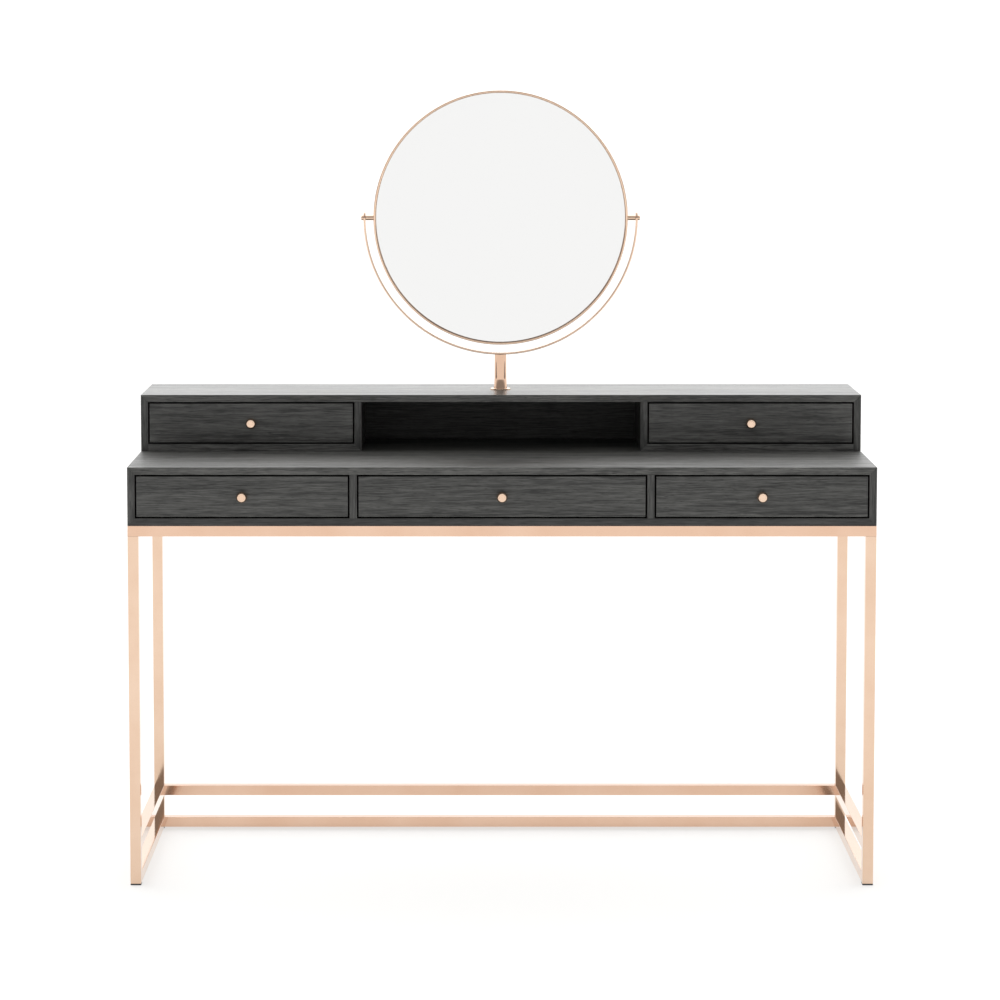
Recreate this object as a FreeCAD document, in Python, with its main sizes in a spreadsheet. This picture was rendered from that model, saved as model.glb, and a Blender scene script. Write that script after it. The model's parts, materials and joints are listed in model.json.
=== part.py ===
"""Vanity table with a tilting round mirror, built as separate pieces.

The table stands on a square-tube metal frame.  A shallow case with three
drawers lies on the frame, a smaller case with two drawers and an open niche
stands on its rear half, and a round mirror tilts in a forked stand on top.

Frame of reference: millimetres, X to the right, Y from the front to the back,
Z up, floor at zero, origin below the middle of the whole object.
"""
import FreeCAD, Part
import os

import Sketcher

SHEET = "Sizes"

DRIVING_SIZES = {
    # whole table
    "width": 1400.0,
    "depth": 500.0,
    "glide_pad": 3.0,
    # metal frame
    "tube": 20.0,
    "tube_wall": 1.5,
    "leg_length": 660.0,
    "stretcher_rise": 65.0,
    "plug_length": 14.0,
    "plug_clearance": 0.1,
    # wooden cases
    "board": 14.0,
    "case_height": 110.0,
    "back_panel": 6.0,
    "middle_bay": 542.0,
    "hutch_setback": 270.0,
    # drawers
    "front_gap": 3.0,
    "box_rise": 5.0,
    "box_height": 66.0,
    "box_board": 12.0,
    "desk_box_gap": 30.0,
    "hutch_box_gap": 15.0,
    "bottom_panel": 6.0,
    "bottom_rise": 8.0,
    "bottom_groove": 4.0,
    "panel_clearance": 0.1,
    # wooden runners
    "runner_rise": 30.0,
    "runner_height": 11.4,
    "runner_grip": 5.0,
    "runner_clearance": 0.3,
    "runner_end_gap": 0.5,
    "desk_runner_start": 40.0,
    "hutch_runner_start": 30.0,
    "runner_back_gap": 6.0,
    # round knobs
    "knob_radius": 10.4,
    "knob_face_radius": 7.8,
    "knob_back_bevel": 1.5,
    "knob_neck_radius": 4.0,
    "knob_foot_radius": 5.5,
    "knob_foot": 2.0,
    "knob_foot_slope": 1.2,
    "knob_neck": 9.0,
    "knob_head": 8.0,
    "knob_screw_depth": 9.0,
    # screws
    "screw_radius": 2.0,
    "screw_clearance": 0.2,
    "thread_clearance": 0.05,
    "screw_head_radius": 4.0,
    "screw_head": 2.5,
    "screw_head_clearance": 0.5,
    "wood_bite": 9.0,
    "bite_gap": 1.0,
    "frame_screw_inset": 160.0,
    "hutch_screw_inset": 110.0,
    "hutch_screw_edge": 50.0,
    # mirror
    "mirror_height": 1242.5,
    "ring_radius": 250.0,
    "ring_band": 4.0,
    "ring_depth": 25.0,
    "ring_lip": 8.0,
    "ring_lip_depth": 2.5,
    "glass": 4.0,
    "backing": 6.0,
    "glass_clearance": 0.3,
    "yoke_gap": 15.6,
    "yoke_band": 4.0,
    "pin_radius": 5.2,
    "pivot_radius": 3.0,
    "pivot_clearance": 0.05,
    "side_play": 0.3,
    "stud_radius": 2.0,
    "cap_radius": 5.2,
    "cap_length": 4.6,
    "cap_bore": 3.0,
    "pivot_thread": 2.4,
    # mirror post
    "stem_top_radius": 11.4,
    "stem_foot_radius": 13.2,
    "flange_radius": 20.0,
    "flange": 3.0,
    "flange_bevel": 0.8,
    "weld_gap": 0.1,
    "stem_bolt_radius": 4.0,
    "stem_bolt_head_radius": 7.0,
    "stem_bolt_head": 4.0,
    "stem_bolt_bite": 28.0,
}


class Size:
    """A length held as a number together with its spreadsheet expression."""

    def __init__(self, value, text):
        self.value = value
        self.text = text

    @staticmethod
    def of(other):
        if isinstance(other, Size):
            return other
        return Size(float(other), repr(float(other)))

    def __add__(self, other):
        other = Size.of(other)
        return Size(self.value + other.value, f"({self.text} + {other.text})")

    def __sub__(self, other):
        other = Size.of(other)
        return Size(self.value - other.value, f"({self.text} - {other.text})")

    def __mul__(self, other):
        other = Size.of(other)
        return Size(self.value * other.value, f"({self.text} * {other.text})")

    def __truediv__(self, other):
        other = Size.of(other)
        return Size(self.value / other.value, f"({self.text} / {other.text})")

    def __rsub__(self, other):
        return Size.of(other) - self

    def __radd__(self, other):
        return Size.of(other) + self

    def __rmul__(self, other):
        return Size.of(other) * self

    def __neg__(self):
        return Size(-self.value, f"(-{self.text})")


class Sizes:
    """The driving sizes, each readable as an attribute of this class."""

    def __init__(self, doc):
        sheet = doc.addObject("Spreadsheet::Sheet", SHEET)
        for row, (name, value) in enumerate(DRIVING_SIZES.items(), start=1):
            sheet.set(f"A{row}", name)
            sheet.set(f"B{row}", str(value))
            sheet.setAlias(f"B{row}", name)
            setattr(self, name, Size(value, f"{SHEET}.{name}"))
        doc.recompute()


DOC = FreeCAD.newDocument("vanity_table")
S = Sizes(DOC)

ZERO = Size.of(0.0)
X_AXIS = FreeCAD.Vector(1, 0, 0)
FACING_BACK = FreeCAD.Rotation(X_AXIS, -90)
FACING_FRONT = FreeCAD.Rotation(X_AXIS, 90)
POINTING_RIGHT = FreeCAD.Rotation(FreeCAD.Vector(0, 1, 0), 90)
POINTING_LEFT = FreeCAD.Rotation(FreeCAD.Vector(0, 1, 0), -90)

# main levels and planes
KNOB_REACH = S.knob_foot + S.knob_neck + S.knob_head
FRONT = KNOB_REACH / 2 - S.depth / 2
BACK = FRONT + S.depth
HALF = S.width / 2
LEG_TOP = S.glide_pad + S.leg_length
DESK_BASE = LEG_TOP + S.tube
HUTCH_BASE = DESK_BASE + S.case_height
HUTCH_FRONT = FRONT + S.hutch_setback
HUTCH_DEPTH = S.depth - S.hutch_setback
HUTCH_TOP = HUTCH_BASE + S.case_height
HALF_MIDDLE = S.middle_bay / 2
SIDE_BAY = HALF - HALF_MIDDLE - 2 * S.board
BAY_HEIGHT = S.case_height - 2 * S.board
SIDE_BAY_CENTRE = HALF_MIDDLE + S.board + SIDE_BAY / 2
MIRROR_Y = HUTCH_FRONT + HUTCH_DEPTH / 2
YOKE_INNER = S.ring_radius + S.yoke_gap
YOKE_OUTER = YOKE_INNER + S.yoke_band


# ---------------------------------------------------------------- helpers

def place(obj, at=(ZERO, ZERO, ZERO), rotation=None):
    """Tie an object's position to the sizes, with an optional fixed turn."""
    if rotation is not None:
        obj.Placement = FreeCAD.Placement(FreeCAD.Vector(), rotation)
    for axis, size in zip("xyz", at):
        obj.setExpression(f"Placement.Base.{axis}", Size.of(size).text)
    return obj


def add(kind, name, **sizes):
    """Add a parametric object and tie the named properties to sizes."""
    obj = DOC.addObject(kind, name)
    obj.Label = name
    for prop, size in sizes.items():
        obj.setExpression(prop, Size.of(size).text)
    return obj


def block(name, size, at=(ZERO, ZERO, ZERO)):
    """A rectangular piece with its lowest corner at the given point."""
    box = add("Part::Box", name, Length=size[0], Width=size[1], Height=size[2])
    return place(box, at)


def rod(name, radius, length, at, rotation=None):
    """A round piece that starts at the given point."""
    return place(add("Part::Cylinder", name, Radius=radius, Height=length), at, rotation)


def cut(name, base, tools):
    """The base piece with every tool taken away."""
    tool = tools[0]
    if len(tools) > 1:
        tool = add("Part::MultiFuse", f"{name}_tools")
        tool.Shapes = tools
    result = add("Part::Cut", name)
    result.Base = base
    result.Tool = tool
    return result


def group(name, pieces, at=(ZERO, ZERO, ZERO)):
    """Several separate solids kept under one name."""
    compound = add("Part::Compound", name)
    compound.Links = pieces
    return place(compound, at)


def new_body(name):
    body = DOC.addObject("PartDesign::Body", name)
    body.Label = name
    return body


def new_sketch(body, role, name, lift=None):
    """A sketch on one of the body's own origin planes."""
    sketch = body.newObject("Sketcher::SketchObject", name)
    plane = next(item for item in body.Origin.OriginFeatures if item.Role == role)
    sketch.AttachmentSupport = [(plane, "")]
    sketch.MapMode = "FlatFace"
    if lift is not None:
        sketch.setExpression("AttachmentOffset.Base.z", lift.text)
    return sketch


def pin_point(sketch, geometry, vertex, x, y):
    """Hold one sketch point at a distance from the sketch origin."""
    for kind, axis, size in (("DistanceX", -2, x), ("DistanceY", -1, y)):
        size = Size.of(size)
        if size.value == 0.0:
            sketch.addConstraint(Sketcher.Constraint("PointOnObject", geometry, vertex, axis))
            continue
        item = Sketcher.Constraint(kind, -1, 1, geometry, vertex, size.value)
        index = sketch.addConstraint(item)
        sketch.setExpression(f"Constraints[{index}]", size.text)


def draw_polygon(sketch, points):
    """A closed outline whose corners are tied to sizes."""
    corners = [FreeCAD.Vector(Size.of(x).value, Size.of(y).value, 0) for x, y in points]
    count = len(corners)
    lines = []
    for start in range(count):
        segment = Part.LineSegment(corners[start], corners[(start + 1) % count])
        lines.append(sketch.addGeometry(segment, False))
    for order, line in enumerate(lines):
        following = lines[(order + 1) % count]
        sketch.addConstraint(Sketcher.Constraint("Coincident", line, 2, following, 1))
    for line, (x, y) in zip(lines, points):
        pin_point(sketch, line, 1, x, y)


def draw_circle(sketch, x, y, radius):
    """A circle tied to sizes."""
    centre = FreeCAD.Vector(Size.of(x).value, Size.of(y).value, 0)
    circle = sketch.addGeometry(Part.Circle(centre, FreeCAD.Vector(0, 0, 1), radius.value), False)
    pin_point(sketch, circle, 3, x, y)
    index = sketch.addConstraint(Sketcher.Constraint("Radius", circle, radius.value))
    sketch.setExpression(f"Constraints[{index}]", radius.text)


def rectangle(x0, y0, x1, y1):
    return [(x0, y0), (x1, y0), (x1, y1), (x0, y1)]


def pad(body, sketch, length, reverse=False):
    feature = body.newObject("PartDesign::Pad", f"{sketch.Name}_pad")
    feature.Profile = sketch
    feature.Reversed = reverse
    feature.setExpression("Length", length.text)
    return feature


def pocket(body, sketch, depth=None, reverse=False):
    """Cut a sketch out of the body, right through when no depth is given."""
    feature = body.newObject("PartDesign::Pocket", f"{sketch.Name}_pocket")
    feature.Profile = sketch
    if depth is None:
        feature.Type = "ThroughAll"
        feature.Midplane = True
    else:
        feature.Reversed = reverse
        feature.setExpression("Length", depth.text)
    return feature


def drill(body, role, name, spots, radius, depth=None, reverse=False):
    """Round holes at the given spots of an origin plane."""
    sketch = new_sketch(body, role, name)
    for x, y in spots:
        draw_circle(sketch, x, y, radius)
    return pocket(body, sketch, depth, reverse)


def extruded(name, role, outline, length, reverse=False):
    """A body made by pushing one outline out of an origin plane."""
    body = new_body(name)
    sketch = new_sketch(body, role, f"{name}_outline")
    draw_polygon(sketch, outline)
    pad(body, sketch, length, reverse)
    return body


def turned(name, profile, angle=360.0):
    """A body turned round its own Z axis from a radius and height profile."""
    body = new_body(name)
    sketch = new_sketch(body, "XZ_Plane", f"{name}_profile")
    draw_polygon(sketch, profile)
    feature = body.newObject("PartDesign::Revolution", f"{name}_turn")
    feature.Profile = sketch
    feature.ReferenceAxis = (sketch, ["V_Axis"])
    feature.Angle = angle
    return body


def screw(name, shank_radius, shank_length, head_radius, head_length, at, rotation=None):
    """A screw with a round head, its head starting at the given point."""
    profile = [
        (ZERO, ZERO),
        (head_radius, ZERO),
        (head_radius, head_length),
        (shank_radius, head_length),
        (shank_radius, head_length + shank_length),
        (ZERO, head_length + shank_length),
    ]
    return place(turned(name, profile), at, rotation)


# ------------------------------------------------------------ metal frame

def hollow(body, role, name):
    """Run the inside of the square tube through a rail."""
    sketch = new_sketch(body, role, name)
    inner = S.tube - S.tube_wall
    draw_polygon(sketch, rectangle(S.tube_wall, S.tube_wall, inner, inner))
    pocket(body, sketch)


def leg(name, x, y):
    """An upright square tube."""
    body = new_body(name)
    sketch = new_sketch(body, "XY_Plane", f"{name}_section")
    inner = S.tube - S.tube_wall
    draw_polygon(sketch, rectangle(0, 0, S.tube, S.tube))
    draw_polygon(sketch, rectangle(S.tube_wall, S.tube_wall, inner, inner))
    pad(body, sketch, S.leg_length)
    return place(body, (x, y, S.glide_pad))


def rail_across(name, outline, at):
    """A square tube that runs from left to right."""
    body = extruded(name, "XY_Plane", outline, S.tube)
    hollow(body, "YZ_Plane", f"{name}_inside")
    return place(body, at)


def rail_deep(name, outline, at):
    """A square tube that runs from front to back."""
    body = extruded(name, "XY_Plane", outline, S.tube)
    hollow(body, "XZ_Plane", f"{name}_inside")
    return place(body, at)


def frame_screw_spots():
    """Distances from the left end of the long top rails."""
    return [S.frame_screw_inset, HALF, S.width - S.frame_screw_inset]


def drill_rail(rail, name):
    """Screw holes in the upper wall and access holes in the lower wall."""
    spots = [(x, S.tube / 2) for x in frame_screw_spots()]
    drill(rail, "XY_Plane", f"{name}_screw_holes", spots, S.screw_radius + S.screw_clearance)
    access = S.screw_head_radius + S.screw_head_clearance
    drill(rail, "XY_Plane", f"{name}_access_holes", spots, access, S.tube / 2, reverse=True)


def top_rails():
    """Four rails mitred into one rectangle under the desk."""
    far_x = S.width - S.tube
    far_y = S.depth - S.tube
    front = [(0, 0), (S.width, 0), (far_x, S.tube), (S.tube, S.tube)]
    back = [(S.tube, 0), (far_x, 0), (S.width, S.tube), (0, S.tube)]
    left = [(0, 0), (S.tube, S.tube), (S.tube, far_y), (0, S.depth)]
    right = [(S.tube, 0), (S.tube, S.depth), (0, far_y), (0, S.tube)]
    front_rail = rail_across("top_front_rail", front, (-HALF, FRONT, LEG_TOP))
    back_rail = rail_across("top_back_rail", back, (-HALF, BACK - S.tube, LEG_TOP))
    drill_rail(front_rail, "top_front_rail")
    drill_rail(back_rail, "top_back_rail")
    return [
        front_rail,
        back_rail,
        rail_deep("top_left_rail", left, (-HALF, FRONT, LEG_TOP)),
        rail_deep("top_right_rail", right, (HALF - S.tube, FRONT, LEG_TOP)),
    ]


def legs():
    columns = (("left", -HALF), ("right", HALF - S.tube))
    rows = (("front", FRONT), ("back", BACK - S.tube))
    return [
        leg(f"leg_{row}_{column}", x, y)
        for row, y in rows
        for column, x in columns
    ]


def lower_rails():
    """Rails and stretchers that tie the legs together near the floor."""
    between_sides = rectangle(0, 0, S.width - 2 * S.tube, S.tube)
    between_ends = rectangle(0, 0, S.tube, S.depth - 2 * S.tube)
    pieces = []
    for name, level in (("bottom", S.glide_pad), ("stretcher", S.glide_pad + S.stretcher_rise)):
        pieces.append(rail_across(f"{name}_back", between_sides,
                                  (-HALF + S.tube, BACK - S.tube, level)))
        pieces.append(rail_deep(f"{name}_left", between_ends,
                                (-HALF, FRONT + S.tube, level)))
        pieces.append(rail_deep(f"{name}_right", between_ends,
                                (HALF - S.tube, FRONT + S.tube, level)))
    return pieces


def leg_glides():
    """Square plugs with a foot pad, pushed into the four legs."""
    side = S.tube - 2 * S.tube_wall - 2 * S.plug_clearance
    inset = S.tube_wall + S.plug_clearance
    far = inset + side
    solids = []
    for row, y in (("front", FRONT), ("back", BACK - S.tube)):
        for column, x in (("left", -HALF), ("right", HALF - S.tube)):
            name = f"glide_{row}_{column}"
            body = extruded(name, "XY_Plane", rectangle(0, 0, S.tube, S.tube), S.glide_pad)
            sketch = new_sketch(body, "XY_Plane", f"{name}_plug")
            draw_polygon(sketch, rectangle(inset, inset, far, far))
            pad(body, sketch, S.glide_pad + S.plug_length)
            solids.append(place(body, (x, y, ZERO)))
    return group("leg_glides", solids)


def frame_screws():
    """Screws whose heads bear on the upper wall inside the long rails."""
    solids = []
    level = DESK_BASE - S.tube_wall - S.screw_head
    shank = S.tube_wall + S.wood_bite
    for row, y in (("front", FRONT + S.tube / 2), ("back", BACK - S.tube / 2)):
        for order, x in enumerate(frame_screw_spots()):
            solids.append(screw(f"frame_screw_{row}_{order}", S.screw_radius, shank,
                                S.screw_head_radius, S.screw_head, (x - HALF, y, level)))
    return group("frame_screws", solids)


# ------------------------------------------------------------- desk case

def desk_case():
    """The mitred case, two dividers and a back panel."""
    top_level = S.case_height - S.board
    inner_depth = S.depth - S.back_panel
    flat = S.width - S.board
    bottom = extruded("desk_bottom", "XZ_Plane",
                      [(0, 0), (S.width, 0), (flat, S.board), (S.board, S.board)],
                      S.depth, reverse=True)
    for name, y in (("front", S.tube / 2), ("back", S.depth - S.tube / 2)):
        drill(bottom, "XY_Plane", f"desk_bottom_{name}_holes",
              [(x, y) for x in frame_screw_spots()],
              S.screw_radius + S.thread_clearance, S.wood_bite + S.bite_gap, reverse=True)
    top = extruded("desk_top", "XZ_Plane",
                   [(S.board, 0), (flat, 0), (S.width, S.board), (0, S.board)],
                   S.depth, reverse=True)
    drill(top, "XY_Plane", "desk_top_screw_holes", hutch_screw_spots(),
          S.screw_radius + S.screw_clearance)
    drill(top, "XY_Plane", "desk_top_counterbores", hutch_screw_spots(),
          S.screw_head_radius + S.screw_head_clearance,
          S.screw_head + S.screw_head_clearance, reverse=True)
    left = extruded("desk_left_side", "XZ_Plane",
                    [(0, 0), (S.board, S.board), (S.board, top_level), (0, S.case_height)],
                    S.depth, reverse=True)
    right = extruded("desk_right_side", "XZ_Plane",
                     [(S.board, 0), (S.board, S.case_height), (0, top_level), (0, S.board)],
                     S.depth, reverse=True)
    return [
        place(bottom, (-HALF, FRONT, DESK_BASE)),
        place(top, (-HALF, FRONT, DESK_BASE + top_level)),
        place(left, (-HALF, FRONT, DESK_BASE)),
        place(right, (HALF - S.board, FRONT, DESK_BASE)),
        block("desk_left_divider", (S.board, inner_depth, BAY_HEIGHT),
              (-HALF_MIDDLE - S.board, FRONT, DESK_BASE + S.board)),
        block("desk_right_divider", (S.board, inner_depth, BAY_HEIGHT),
              (HALF_MIDDLE, FRONT, DESK_BASE + S.board)),
        block("desk_back", (S.width - 2 * S.board, S.back_panel, BAY_HEIGHT),
              (-HALF + S.board, FRONT + inner_depth, DESK_BASE + S.board)),
    ]


# ------------------------------------------------------------ hutch case

def hutch_screw_columns():
    """Distances of the hutch screws from the left end of the case."""
    near = S.hutch_screw_inset
    inner = HALF - HALF_MIDDLE - S.hutch_screw_inset
    return [near, inner, S.width - inner, S.width - near]


def hutch_screw_rows():
    """Distances of the hutch screws from the front of the desk."""
    return [S.hutch_setback + S.hutch_screw_edge, S.depth - S.hutch_screw_edge]


def hutch_screw_spots():
    return [(x, y) for y in hutch_screw_rows() for x in hutch_screw_columns()]


def hutch_bottom(name, outline, x, columns):
    """A floor board of one drawer bay with blind holes for its screws."""
    inner_depth = HUTCH_DEPTH - S.back_panel
    board = extruded(name, "XZ_Plane", outline, inner_depth, reverse=True)
    spots = [
        (column - HALF - x, row - S.hutch_setback)
        for row in hutch_screw_rows()
        for column in columns
    ]
    drill(board, "XY_Plane", f"{name}_holes", spots,
          S.screw_radius + S.thread_clearance, S.wood_bite + S.bite_gap, reverse=True)
    return place(board, (x, HUTCH_FRONT, HUTCH_BASE))


def hutch_case():
    """The smaller case: two drawer bays with an open niche between them."""
    top_level = S.case_height - S.board
    inner_depth = HUTCH_DEPTH - S.back_panel
    floor_length = SIDE_BAY + S.board
    columns = hutch_screw_columns()
    top = extruded("hutch_top", "XZ_Plane",
                   [(S.board, 0), (S.width - S.board, 0), (S.width, S.board), (0, S.board)],
                   HUTCH_DEPTH, reverse=True)
    drill(top, "XY_Plane", "hutch_top_bolt_hole", [(HALF, HUTCH_DEPTH / 2)],
          S.stem_bolt_radius + S.screw_clearance)
    drill(top, "XY_Plane", "hutch_top_counterbore", [(HALF, HUTCH_DEPTH / 2)],
          S.stem_bolt_head_radius + S.screw_head_clearance,
          S.stem_bolt_head + S.screw_head_clearance, reverse=True)
    left = extruded("hutch_left_side", "XZ_Plane",
                    [(0, 0), (S.board, 0), (S.board, top_level), (0, S.case_height)],
                    HUTCH_DEPTH, reverse=True)
    right = extruded("hutch_right_side", "XZ_Plane",
                     [(0, 0), (S.board, 0), (S.board, S.case_height), (0, top_level)],
                     HUTCH_DEPTH, reverse=True)
    left_divider = extruded("hutch_left_divider", "XZ_Plane",
                            [(S.board, 0), (S.board, top_level), (0, top_level), (0, S.board)],
                            inner_depth, reverse=True)
    right_divider = extruded("hutch_right_divider", "XZ_Plane",
                             [(0, 0), (S.board, S.board), (S.board, top_level), (0, top_level)],
                             inner_depth, reverse=True)
    return [
        place(top, (-HALF, HUTCH_FRONT, HUTCH_BASE + top_level)),
        place(left, (-HALF, HUTCH_FRONT, HUTCH_BASE)),
        place(right, (HALF - S.board, HUTCH_FRONT, HUTCH_BASE)),
        place(left_divider, (-HALF_MIDDLE - S.board, HUTCH_FRONT, HUTCH_BASE)),
        place(right_divider, (HALF_MIDDLE, HUTCH_FRONT, HUTCH_BASE)),
        hutch_bottom("hutch_left_bottom",
                     [(0, 0), (floor_length, 0), (SIDE_BAY, S.board), (0, S.board)],
                     -HALF + S.board, columns[:2]),
        hutch_bottom("hutch_right_bottom",
                     [(0, 0), (floor_length, 0), (floor_length, S.board), (S.board, S.board)],
                     HALF_MIDDLE, columns[2:]),
        block("hutch_back", (S.width - 2 * S.board, S.back_panel, top_level),
              (-HALF + S.board, HUTCH_FRONT + inner_depth, HUTCH_BASE)),
    ]


def hutch_screws():
    """Screws from below the desk top into the floor boards of the hutch."""
    solids = []
    level = HUTCH_BASE - S.board + S.screw_head_clearance
    shank = S.board - S.screw_head - S.screw_head_clearance + S.wood_bite
    for order, (x, y) in enumerate(hutch_screw_spots()):
        solids.append(screw(f"hutch_screw_{order}", S.screw_radius, shank,
                            S.screw_head_radius, S.screw_head, (x - HALF, FRONT + y, level)))
    return group("hutch_screws", solids)


# --------------------------------------------------------------- runners

RUNNER_REACH = S.front_gap + S.runner_grip


def runners(name, front, bay_floor, start, depth, walls):
    """Wooden strips on the bay walls; each wall gives its face and its side."""
    length = depth - S.back_panel - S.runner_back_gap - start
    level = bay_floor + S.box_rise + S.runner_rise
    solids = []
    for order, (face, towards_left) in enumerate(walls):
        x = face - RUNNER_REACH if towards_left else face
        solids.append(block(f"{name}_{order}", (RUNNER_REACH, length, S.runner_height),
                            (x, front + start, level)))
    return group(name, solids)


def all_runners():
    side_walls = [
        (-HALF + S.board, False),
        (-HALF_MIDDLE - S.board, True),
        (HALF_MIDDLE + S.board, False),
        (HALF - S.board, True),
    ]
    middle_walls = [(-HALF_MIDDLE, False), (HALF_MIDDLE, True)]
    return [
        runners("desk_runners", FRONT, DESK_BASE + S.board, S.desk_runner_start,
                S.depth, side_walls + middle_walls),
        runners("hutch_runners", HUTCH_FRONT, HUTCH_BASE + S.board, S.hutch_runner_start,
                HUTCH_DEPTH, side_walls),
    ]


# --------------------------------------------------------------- drawers

FRONT_HEIGHT = BAY_HEIGHT - 2 * S.front_gap
KNOB_LEVEL = BAY_HEIGHT / 2


def drawer_front(name, bay_width, corner, bay_floor):
    """The visible front board with a hole for the knob screw."""
    width = bay_width - 2 * S.front_gap
    front = extruded(name, "XZ_Plane", rectangle(0, 0, width, FRONT_HEIGHT),
                     S.board, reverse=True)
    drill(front, "XZ_Plane", f"{name}_hole", [(width / 2, FRONT_HEIGHT / 2)],
          S.screw_radius + S.screw_clearance)
    return place(front, (corner[0] + S.front_gap, corner[1], bay_floor + S.front_gap))


def drawer_side(name, x, length, groove_start, inner_face_right):
    """A side board with a runner groove outside and a floor groove inside."""
    board = block(f"{name}_board", (S.box_board, length, S.box_height), (x, ZERO, ZERO))
    runner_depth = S.runner_grip + S.runner_end_gap
    runner_x = x if inner_face_right else x + S.box_board - runner_depth
    floor_x = x + S.box_board - S.bottom_groove if inner_face_right else x
    runner_groove = block(f"{name}_runner_groove",
                          (runner_depth, length - groove_start,
                           S.runner_height + 2 * S.runner_clearance),
                          (runner_x, groove_start, S.runner_rise - S.runner_clearance))
    floor_groove = block(f"{name}_floor_groove",
                         (S.bottom_groove, length, S.bottom_panel + 2 * S.panel_clearance),
                         (floor_x, ZERO, S.bottom_rise))
    return cut(name, board, [runner_groove, floor_groove])


def drawer_box(name, bay_width, corner, bay_floor, length, runner_start):
    """Sides, inner front, back and floor of one drawer as separate boards."""
    width = bay_width - 2 * S.front_gap
    inner = width - 2 * S.box_board
    groove_start = runner_start - S.board - S.runner_clearance
    floor_slot = S.bottom_panel + 2 * S.panel_clearance
    left = drawer_side(f"{name}_left", ZERO, length, groove_start, inner_face_right=True)
    right = drawer_side(f"{name}_right", width - S.box_board, length, groove_start,
                        inner_face_right=False)
    blank = block(f"{name}_subfront_board", (inner, S.box_board, S.box_height),
                  (S.box_board, ZERO, ZERO))
    slot = block(f"{name}_subfront_slot", (inner, S.bottom_groove, floor_slot),
                 (S.box_board, S.box_board - S.bottom_groove, S.bottom_rise))
    bore = rod(f"{name}_subfront_bore", S.screw_radius + S.screw_clearance, S.box_board,
               (width / 2, ZERO, KNOB_LEVEL - S.box_rise), FACING_BACK)
    subfront = cut(f"{name}_subfront", blank, [slot, bore])
    back_rise = S.bottom_rise + floor_slot
    back = block(f"{name}_back", (inner, S.box_board, S.box_height - back_rise),
                 (S.box_board, length - S.box_board, back_rise))
    panel_edge = S.bottom_groove - S.panel_clearance
    panel_front = S.box_board - panel_edge
    floor = block(f"{name}_floor",
                  (inner + 2 * panel_edge, length - panel_front, S.bottom_panel),
                  (S.box_board - panel_edge, panel_front, S.bottom_rise + S.panel_clearance))
    return group(name, [left, right, subfront, back, floor],
                 (corner[0] + S.front_gap, corner[1] + S.board, bay_floor + S.box_rise))


def knob(name, bay_width, corner, bay_floor):
    """A round knob and the screw that holds it through both fronts."""
    neck_top = S.knob_foot + S.knob_neck
    top = neck_top + S.knob_head
    bore = S.screw_radius + S.thread_clearance
    bore_depth = S.knob_screw_depth + S.bite_gap
    profile = [
        (bore, ZERO),
        (S.knob_foot_radius, ZERO),
        (S.knob_foot_radius, S.knob_foot),
        (S.knob_neck_radius, S.knob_foot + S.knob_foot_slope),
        (S.knob_neck_radius, neck_top),
        (S.knob_radius - S.knob_back_bevel, neck_top),
        (S.knob_radius, neck_top + S.knob_back_bevel),
        (S.knob_face_radius, top),
        (ZERO, top),
        (ZERO, bore_depth),
        (bore, bore_depth),
    ]
    handle = place(turned(f"{name}_handle", profile), (ZERO, ZERO, ZERO), FACING_FRONT)
    grip = S.board + S.box_board
    shank = grip + S.knob_screw_depth
    bolt = screw(f"{name}_screw", S.screw_radius, shank, S.screw_head_radius, S.screw_head,
                 (ZERO, grip + S.screw_head, ZERO), FACING_FRONT)
    return group(name, [handle, bolt],
                 (corner[0] + bay_width / 2, corner[1], bay_floor + KNOB_LEVEL))


def drawer(name, bay_width, corner, bay_floor, length, runner_start):
    """One complete drawer: front board, box and knob."""
    return [
        drawer_front(f"{name}_front", bay_width, corner, bay_floor),
        drawer_box(f"{name}_box", bay_width, corner, bay_floor, length, runner_start),
        knob(f"{name}_knob", bay_width, corner, bay_floor),
    ]


def drawers():
    behind = S.board + S.back_panel
    desk_length = S.depth - behind - S.desk_box_gap
    hutch_length = HUTCH_DEPTH - behind - S.hutch_box_gap
    desk_floor = DESK_BASE + S.board
    hutch_floor = HUTCH_BASE + S.board
    left = -HALF + S.board
    middle = -HALF_MIDDLE
    right = HALF_MIDDLE + S.board
    pieces = []
    for name, x, bay_width in (("desk_drawer_left", left, SIDE_BAY),
                               ("desk_drawer_middle", middle, S.middle_bay),
                               ("desk_drawer_right", right, SIDE_BAY)):
        pieces += drawer(name, bay_width, (x, FRONT), desk_floor,
                         desk_length, S.desk_runner_start)
    for name, x in (("hutch_drawer_left", left), ("hutch_drawer_right", right)):
        pieces += drawer(name, SIDE_BAY, (x, HUTCH_FRONT), hutch_floor,
                         hutch_length, S.hutch_runner_start)
    return pieces


# ---------------------------------------------------------------- mirror

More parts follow.
